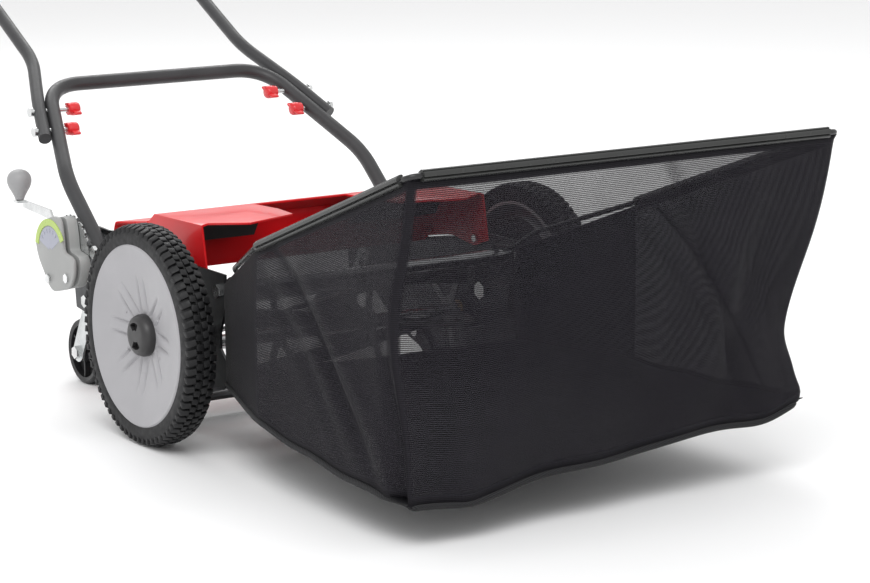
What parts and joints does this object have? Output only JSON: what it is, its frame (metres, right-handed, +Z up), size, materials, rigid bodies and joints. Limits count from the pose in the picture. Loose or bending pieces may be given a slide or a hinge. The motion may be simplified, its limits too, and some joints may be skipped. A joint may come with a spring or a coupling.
{
  "type": "reel mower",
  "caption": "Hand-pushed reel mower with geared side wheels, helical reel and bed knife, height lever, folding-knob handle and a tipping front grass catcher.",
  "frame": {"origin": "on the ground under the main axle, half-way between the main wheels", "axes": "+X across the mower, -Y forward towards the catcher, +Y back along the handle, +Z up"},
  "size_m": [0.556, 1.6144, 0.6857],
  "materials": {
    "zinc": "zinc-plated satin steel",
    "fastener": "bright zinc fasteners",
    "shaft_steel": "turned steel",
    "blade_steel": "hardened steel with ground edges",
    "bronze": "sintered bronze",
    "cast_gear": "sintered steel",
    "black_plastic": "moulded black plastic",
    "hub_plastic": "moulded dark grey plastic",
    "disc_plastic": "moulded light grey plastic",
    "housing_plastic": "moulded light grey plastic",
    "lime_plastic": "lime plastic inlay",
    "red_plastic": "gloss red moulded plastic",
    "red_knob": "red moulded plastic",
    "knob_plastic": "grey moulded plastic",
    "tyre_rubber": "black rubber with moulded tread",
    "handle_paint": "dark grey powder coat",
    "knife_paint": "black paint",
    "wire_paint": "black powder coat",
    "foam": "closed-cell foam",
    "mesh": "black woven mesh",
    "floor_cloth": "coated black cloth",
    "piping": "woven binding"
  },
  "bodies": {
    "chassis": {"side_plate_right": "zinc", "side_plate_left": "zinc", "front_tie_rod": "shaft_steel", "rear_tie_rod": "shaft_steel", "tie_rod_bolts": "fastener", "axle_bolts": "fastener", "reel_bearings": "bronze", "dust_covers": "black_plastic", "deflector_cover": "red_plastic", "rear_apron": "red_plastic", "cover_screws": "fastener", "knife_pivot_bolts": "fastener", "handle_pivot_bolts": "fastener", "handle_stops": "fastener", "guide_bolts": "fastener", "height_housing": "housing_plastic", "housing_trim": "lime_plastic", "quadrant_plate": "zinc", "housing_bolts": "fastener"},
    "wheel_right": {"tyre_right": "tyre_rubber", "wheel_disc_right": "disc_plastic", "ring_gear_right": "black_plastic", "hub_cap_right": "hub_plastic"},
    "wheel_left": {"tyre_left": "tyre_rubber", "wheel_disc_left": "disc_plastic", "ring_gear_left": "black_plastic", "hub_cap_left": "hub_plastic"},
    "reel": {"reel_shaft": "shaft_steel", "reel_spiders": "cast_gear", "reel_blades": "blade_steel", "pinions": "cast_gear", "drive_pawls": "cast_gear"},
    "knife": {"knife_bar": "knife_paint", "bed_knife": "blade_steel", "knife_screws": "fastener"},
    "rear_carrier": {"rear_straps": "zinc", "rear_cross_tube": "zinc", "rear_axle_bolts": "fastener"},
    "rear_wheel_right": {"rear_wheel_right": "black_plastic"},
    "rear_wheel_left": {"rear_wheel_left": "black_plastic"},
    "height_lever": {"height_shaft": "shaft_steel", "height_lever": "zinc", "lever_knob": "knob_plastic"},
    "handle": {"lower_handle": "handle_paint", "upper_handle": "handle_paint", "foam_grip": "foam", "handle_bolts": "fastener"},
    "wing_nut_1": {"wing_nut_1": "red_knob"},
    "wing_nut_2": {"wing_nut_2": "red_knob"},
    "wing_nut_3": {"wing_nut_3": "red_knob"},
    "wing_nut_4": {"wing_nut_4": "red_knob"},
    "catcher": {"catcher_frame": "wire_paint", "frame_clips": "black_plastic", "bag_front": "mesh", "bag_side_right": "mesh", "bag_side_left": "mesh", "bag_throats": "mesh", "bag_floor": "floor_cloth", "bag_piping": "piping"}
  },
  "joints": [
    {"name": "wheel_right_spin", "type": "hinge", "parent": "chassis", "child": "wheel_right", "pos_m": [-0.26, 0, 0.125], "axis": [1, 0, 0], "continuous": true},
    {"name": "wheel_left_spin", "type": "hinge", "parent": "chassis", "child": "wheel_left", "pos_m": [0.26, 0, 0.125], "axis": [1, 0, 0], "continuous": true},
    {"name": "reel_spin", "type": "hinge", "parent": "chassis", "child": "reel", "pos_m": [0, 0.05137, 0.094], "axis": [1, 0, 0], "continuous": true},
    {"name": "knife_adjust", "type": "hinge", "parent": "chassis", "child": "knife", "pos_m": [0, 0.13537, 0.052], "axis": [1, 0, 0], "range_deg": [0, 3]},
    {"name": "height_slide", "type": "slide", "parent": "chassis", "child": "rear_carrier", "axis": [0, -0.4462, 0.8949], "range_m": [-0.0095, 0.0095]},
    {"name": "rear_wheel_right_spin", "type": "hinge", "parent": "rear_carrier", "child": "rear_wheel_right", "pos_m": [-0.176, 0.306, 0.04], "axis": [1, 0, 0], "continuous": true},
    {"name": "rear_wheel_left_spin", "type": "hinge", "parent": "rear_carrier", "child": "rear_wheel_left", "pos_m": [0.176, 0.306, 0.04], "axis": [1, 0, 0], "continuous": true},
    {"name": "lever_turn", "type": "hinge", "parent": "chassis", "child": "height_lever", "pos_m": [-0.234, 0.262, 0.175], "axis": [1, 0, 0], "range_deg": [-28, 28]},
    {"name": "handle_pivot", "type": "hinge", "parent": "chassis", "child": "handle", "pos_m": [0, 0.205, 0.182], "axis": [1, 0, 0], "range_deg": [0, 42]},
    {"name": "catcher_tilt", "type": "hinge", "parent": "chassis", "child": "catcher", "pos_m": [0, -0.05, 0.176], "axis": [-1, 0, 0], "range_deg": [0, 25]},
    {"name": "wing_nut_1_turn", "type": "hinge", "parent": "handle", "child": "wing_nut_1", "pos_m": [-0.16392, 0.37308, 0.3041], "axis": [-1, 0, 0], "continuous": true},
    {"name": "wing_nut_2_turn", "type": "hinge", "parent": "handle", "child": "wing_nut_2", "pos_m": [-0.15258, 0.40542, 0.32353], "axis": [-1, 0, 0], "continuous": true},
    {"name": "wing_nut_3_turn", "type": "hinge", "parent": "handle", "child": "wing_nut_3", "pos_m": [0.16392, 0.37308, 0.3041], "axis": [1, 0, 0], "continuous": true},
    {"name": "wing_nut_4_turn", "type": "hinge", "parent": "handle", "child": "wing_nut_4", "pos_m": [0.15258, 0.40542, 0.32353], "axis": [1, 0, 0], "continuous": true}
  ],
  "couplings": [
    {"joint": "wheel_left_spin", "follows": "wheel_right_spin", "ratio": 1},
    {"joint": "reel_spin", "follows": "wheel_right_spin", "ratio": 6},
    {"joint": "lever_turn", "follows": "height_slide", "rad_per_m": -50}
  ]
}
